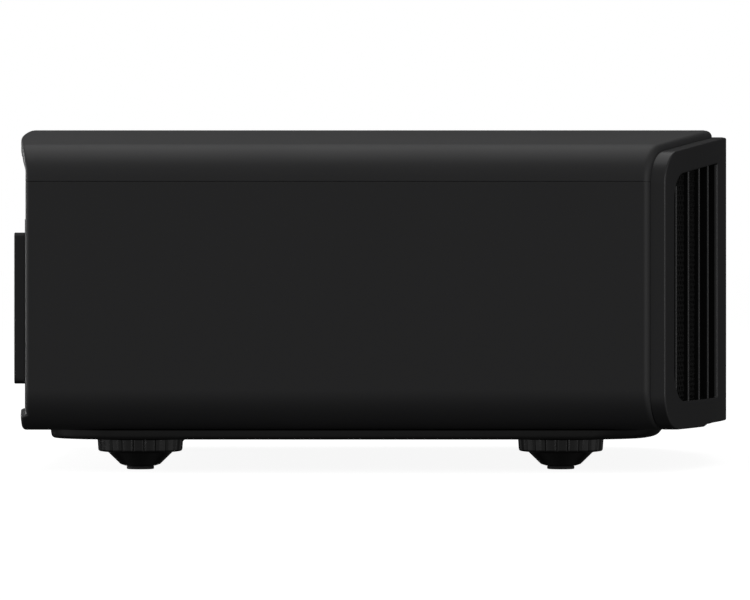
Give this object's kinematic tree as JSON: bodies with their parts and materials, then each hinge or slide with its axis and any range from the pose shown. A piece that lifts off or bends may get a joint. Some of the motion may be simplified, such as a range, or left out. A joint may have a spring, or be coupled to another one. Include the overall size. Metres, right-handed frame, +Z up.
{
  "type": "home cinema projector",
  "caption": "Wide domed projector case with a central shuttered lens, swept exhaust vents, rear filters, sockets and keys, on screw feet.",
  "frame": {"origin": "middle of the footprint, at the soles of the retracted feet", "axes": "+Z up, front with the lens towards -Y, rear terminals towards +Y, the projector's own left towards +X"},
  "size_m": [0.5, 0.495, 0.2374],
  "materials": {
    "case_plastic": "fine-textured dark grey shell",
    "fascia_plastic": "smooth satin black front",
    "dark_plastic": "satin black",
    "gloss_plastic": "polished black",
    "painted_steel": "black powder coat",
    "bare_steel": "plated",
    "aluminium": "bare casting",
    "circuit_board": "green laminate",
    "rubber": "matt black",
    "foam": "open-cell dark grey",
    "glass": "coated"
  },
  "bodies": {
    "case": {"top_cover": "case_plastic", "left_side_panel": "case_plastic", "right_side_panel": "case_plastic", "bottom_cover": "case_plastic", "rear_panel": "case_plastic", "front_fascia": "fascia_plastic", "base_tray": "painted_steel", "vent_mesh_left": "painted_steel", "vent_mesh_right": "painted_steel", "terminal_plate": "painted_steel", "remote_window_front": "gloss_plastic", "lens_trim_ring": "gloss_plastic", "remote_window_rear": "gloss_plastic", "indicator_window": "gloss_plastic", "shutter_track": "dark_plastic", "fan_frame_left": "dark_plastic", "fan_frame_right": "dark_plastic", "trigger_jack": "dark_plastic", "ac_inlet": "dark_plastic", "shift_frame": "aluminium", "light_engine": "aluminium", "laser_module": "aluminium", "heat_sink": "aluminium", "main_board": "circuit_board", "power_board": "circuit_board", "serial_port": "bare_steel", "lan_port": "bare_steel", "hdmi_port_1": "bare_steel", "hdmi_port_2": "bare_steel", "usb_port": "bare_steel"},
    "vertical_shift": {"vertical_carriage": "aluminium"},
    "lens": {"horizontal_carriage": "aluminium", "lens_barrel": "dark_plastic", "lens_baffle": "dark_plastic"},
    "focus_drive": {"focus_ring": "dark_plastic"},
    "zoom_drive": {"zoom_ring": "dark_plastic"},
    "front_cell": {"front_lens_cell": "dark_plastic", "front_lens": "glass"},
    "shutter_door_left": {"shutter_left": "dark_plastic"},
    "shutter_door_right": {"shutter_right": "dark_plastic"},
    "exhaust_rotor_left": {"fan_rotor_left": "dark_plastic"},
    "exhaust_rotor_right": {"fan_rotor_right": "dark_plastic"},
    "filter_left": {"filter_cover_left": "case_plastic", "air_filter_left": "foam"},
    "filter_right": {"filter_cover_right": "case_plastic", "air_filter_right": "foam"},
    "direction_pad": {"direction_pad": "dark_plastic"},
    "power_button": {"power_button": "dark_plastic"},
    "input_button": {"input_button": "dark_plastic"},
    "menu_button": {"menu_button": "dark_plastic"},
    "back_button": {"back_button": "dark_plastic"},
    "ok_button": {"ok_button": "dark_plastic"},
    "foot_sole_front_left": {"foot_pad_front_left": "rubber"},
    "foot_screw_front_left": {"foot_knob_front_left": "dark_plastic"},
    "foot_sole_front_right": {"foot_pad_front_right": "rubber"},
    "foot_screw_front_right": {"foot_knob_front_right": "dark_plastic"},
    "foot_sole_rear_left": {"foot_pad_rear_left": "rubber"},
    "foot_screw_rear_left": {"foot_knob_rear_left": "dark_plastic"},
    "foot_sole_rear_right": {"foot_pad_rear_right": "rubber"},
    "foot_screw_rear_right": {"foot_knob_rear_right": "dark_plastic"}
  },
  "joints": [
    {"name": "lens_shift_vertical", "type": "slide", "parent": "case", "child": "vertical_shift", "axis": [0, 0, 1], "range_m": [-0.012, 0.012]},
    {"name": "lens_shift_horizontal", "type": "slide", "parent": "vertical_shift", "child": "lens", "axis": [1, 0, 0], "range_m": [-0.008, 0.008]},
    {"name": "focus_turn", "type": "hinge", "parent": "lens", "child": "focus_drive", "pos_m": [0, -0.2015, 0.131], "axis": [0, 1, 0], "range_deg": [-60, 60]},
    {"name": "focus_travel", "type": "slide", "parent": "lens", "child": "front_cell", "axis": [0, -1, 0], "range_m": [-0.003, 0.003]},
    {"name": "zoom_turn", "type": "hinge", "parent": "lens", "child": "zoom_drive", "pos_m": [0, -0.177, 0.131], "axis": [0, 1, 0], "range_deg": [-35, 35]},
    {"name": "shutter_close_left", "type": "slide", "parent": "case", "child": "shutter_door_left", "axis": [-1, 0, 0], "range_m": [0, 0.0597]},
    {"name": "shutter_close_right", "type": "slide", "parent": "case", "child": "shutter_door_right", "axis": [1, 0, 0], "range_m": [0, 0.0597]},
    {"name": "exhaust_spin_left", "type": "hinge", "parent": "case", "child": "exhaust_rotor_left", "pos_m": [0.176, -0.1715, 0.128], "axis": [0, 1, 0], "continuous": true},
    {"name": "exhaust_spin_right", "type": "hinge", "parent": "case", "child": "exhaust_rotor_right", "pos_m": [-0.176, -0.1715, 0.128], "axis": [0, 1, 0], "continuous": true},
    {"name": "filter_release_left", "type": "slide", "parent": "case", "child": "filter_left", "axis": [0, 1, 0], "range_m": [0, 0.03]},
    {"name": "filter_release_right", "type": "slide", "parent": "case", "child": "filter_right", "axis": [0, 1, 0], "range_m": [0, 0.03]},
    {"name": "press_direction_pad", "type": "slide", "parent": "case", "child": "direction_pad", "axis": [0, -1, 0], "range_m": [0, 0.0007], "stiffness_N_per_m": 1500, "springref_m": -0.0004},
    {"name": "press_power_button", "type": "slide", "parent": "case", "child": "power_button", "axis": [0, -1, 0], "range_m": [0, 0.001], "stiffness_N_per_m": 1200, "springref_m": -0.0004},
    {"name": "press_input_button", "type": "slide", "parent": "case", "child": "input_button", "axis": [0, -1, 0], "range_m": [0, 0.001], "stiffness_N_per_m": 1200, "springref_m": -0.0004},
    {"name": "press_menu_button", "type": "slide", "parent": "case", "child": "menu_button", "axis": [0, -1, 0], "range_m": [0, 0.001], "stiffness_N_per_m": 1200, "springref_m": -0.0004},
    {"name": "press_back_button", "type": "slide", "parent": "case", "child": "back_button", "axis": [0, -1, 0], "range_m": [0, 0.001], "stiffness_N_per_m": 1200, "springref_m": -0.0004},
    {"name": "press_ok_button", "type": "slide", "parent": "case", "child": "ok_button", "axis": [0, -1, 0], "range_m": [0, 0.001], "stiffness_N_per_m": 1200, "springref_m": -0.0004},
    {"name": "foot_travel_front_left", "type": "slide", "parent": "case", "child": "foot_sole_front_left", "axis": [0, 0, -1], "range_m": [0, 0.009]},
    {"name": "foot_turn_front_left", "type": "hinge", "parent": "foot_sole_front_left", "child": "foot_screw_front_left", "pos_m": [0.18, -0.1264, 0.0131], "axis": [0, 0, -1], "range_deg": [0, 2160]},
    {"name": "foot_travel_front_right", "type": "slide", "parent": "case", "child": "foot_sole_front_right", "axis": [0, 0, -1], "range_m": [0, 0.009]},
    {"name": "foot_turn_front_right", "type": "hinge", "parent": "foot_sole_front_right", "child": "foot_screw_front_right", "pos_m": [-0.18, -0.1264, 0.0131], "axis": [0, 0, -1], "range_deg": [0, 2160]},
    {"name": "foot_travel_rear_left", "type": "slide", "parent": "case", "child": "foot_sole_rear_left", "axis": [0, 0, -1], "range_m": [0, 0.009]},
    {"name": "foot_turn_rear_left", "type": "hinge", "parent": "foot_sole_rear_left", "child": "foot_screw_rear_left", "pos_m": [0.18, 0.1637, 0.0131], "axis": [0, 0, -1], "range_deg": [0, 2160]},
    {"name": "foot_travel_rear_right", "type": "slide", "parent": "case", "child": "foot_sole_rear_right", "axis": [0, 0, -1], "range_m": [0, 0.009]},
    {"name": "foot_turn_rear_right", "type": "hinge", "parent": "foot_sole_rear_right", "child": "foot_screw_rear_right", "pos_m": [-0.18, 0.1637, 0.0131], "axis": [0, 0, -1], "range_deg": [0, 2160]}
  ],
  "couplings": [
    {"joint": "focus_travel", "follows": "focus_turn", "m_per_rad": 0.0028648},
    {"joint": "shutter_close_right", "follows": "shutter_close_left", "ratio": 1},
    {"joint": "foot_turn_front_left", "follows": "foot_travel_front_left", "rad_per_m": 4188.8},
    {"joint": "foot_turn_front_right", "follows": "foot_travel_front_right", "rad_per_m": 4188.8},
    {"joint": "foot_turn_rear_left", "follows": "foot_travel_rear_left", "rad_per_m": 4188.8},
    {"joint": "foot_turn_rear_right", "follows": "foot_travel_rear_right", "rad_per_m": 4188.8}
  ]
}
